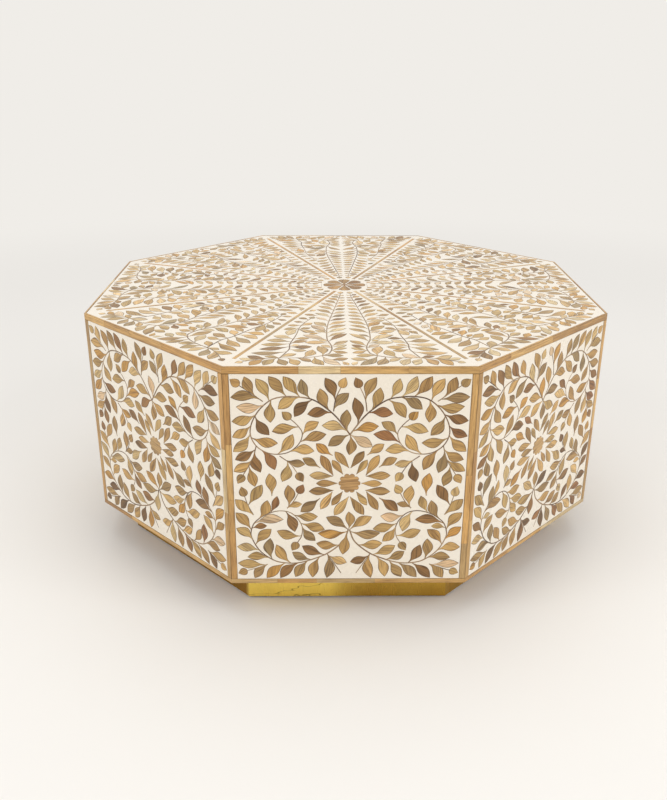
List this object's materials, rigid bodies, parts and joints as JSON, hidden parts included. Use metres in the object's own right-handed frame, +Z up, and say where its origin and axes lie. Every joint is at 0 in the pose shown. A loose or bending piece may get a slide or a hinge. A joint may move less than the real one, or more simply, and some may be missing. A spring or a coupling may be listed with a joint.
{
  "type": "octagonal inlaid coffee table",
  "caption": "Octagonal drum coffee table with wooden leaf-scroll inlay set in pale resin, wooden edging and a recessed brass-clad plinth.",
  "frame": {"origin": "on the floor, under the centre of the octagonal drum", "axes": "+Z up; -Y is the front facet's outward normal; +X to the right seen from the front"},
  "size_m": [0.914, 0.914, 0.441],
  "materials": {
    "carcass_wood": "plain sawn hardwood boards, hidden inside the drum and seen only from below",
    "edging_wood": "honey-brown hardwood strips pieced from short lengths, lacquered",
    "inlay_resin": "warm white resin ground flush with wooden leaf chips, polished",
    "plinth_brass": "thin brass sheet, softly dented, satin polish",
    "glide_plastic": "black nylon"
  },
  "bodies": {
    "root": {"base_board": "carcass_wood", "top_board": "carcass_wood", "side_board_1": "carcass_wood", "side_board_2": "carcass_wood", "side_board_3": "carcass_wood", "side_board_4": "carcass_wood", "side_board_5": "carcass_wood", "side_board_6": "carcass_wood", "side_board_7": "carcass_wood", "side_board_8": "carcass_wood", "plinth_board_1": "carcass_wood", "plinth_board_2": "carcass_wood", "plinth_board_3": "carcass_wood", "plinth_board_4": "carcass_wood", "plinth_board_5": "carcass_wood", "plinth_board_6": "carcass_wood", "plinth_board_7": "carcass_wood", "plinth_board_8": "carcass_wood", "brass_band": "plinth_brass", "glide_1": "glide_plastic", "glide_2": "glide_plastic", "glide_3": "glide_plastic", "glide_4": "glide_plastic", "top_rim": "edging_wood", "bottom_rim": "edging_wood", "corner_strip_1": "edging_wood", "corner_strip_2": "edging_wood", "corner_strip_3": "edging_wood", "corner_strip_4": "edging_wood", "corner_strip_5": "edging_wood", "corner_strip_6": "edging_wood", "corner_strip_7": "edging_wood", "corner_strip_8": "edging_wood", "side_inlay_1": "inlay_resin", "side_inlay_2": "inlay_resin", "side_inlay_3": "inlay_resin", "side_inlay_4": "inlay_resin", "side_inlay_5": "inlay_resin", "side_inlay_6": "inlay_resin", "side_inlay_7": "inlay_resin", "side_inlay_8": "inlay_resin", "top_inlay_1": "inlay_resin", "top_inlay_2": "inlay_resin", "top_inlay_3": "inlay_resin", "top_inlay_4": "inlay_resin", "top_inlay_5": "inlay_resin", "top_inlay_6": "inlay_resin", "top_inlay_7": "inlay_resin", "top_inlay_8": "inlay_resin", "top_divider_1": "edging_wood", "top_divider_2": "edging_wood", "top_divider_3": "edging_wood", "top_divider_4": "edging_wood", "top_divider_5": "edging_wood", "top_divider_6": "edging_wood", "top_divider_7": "edging_wood", "top_divider_8": "edging_wood", "top_rosette": "inlay_resin"}
  },
  "joints": []
}
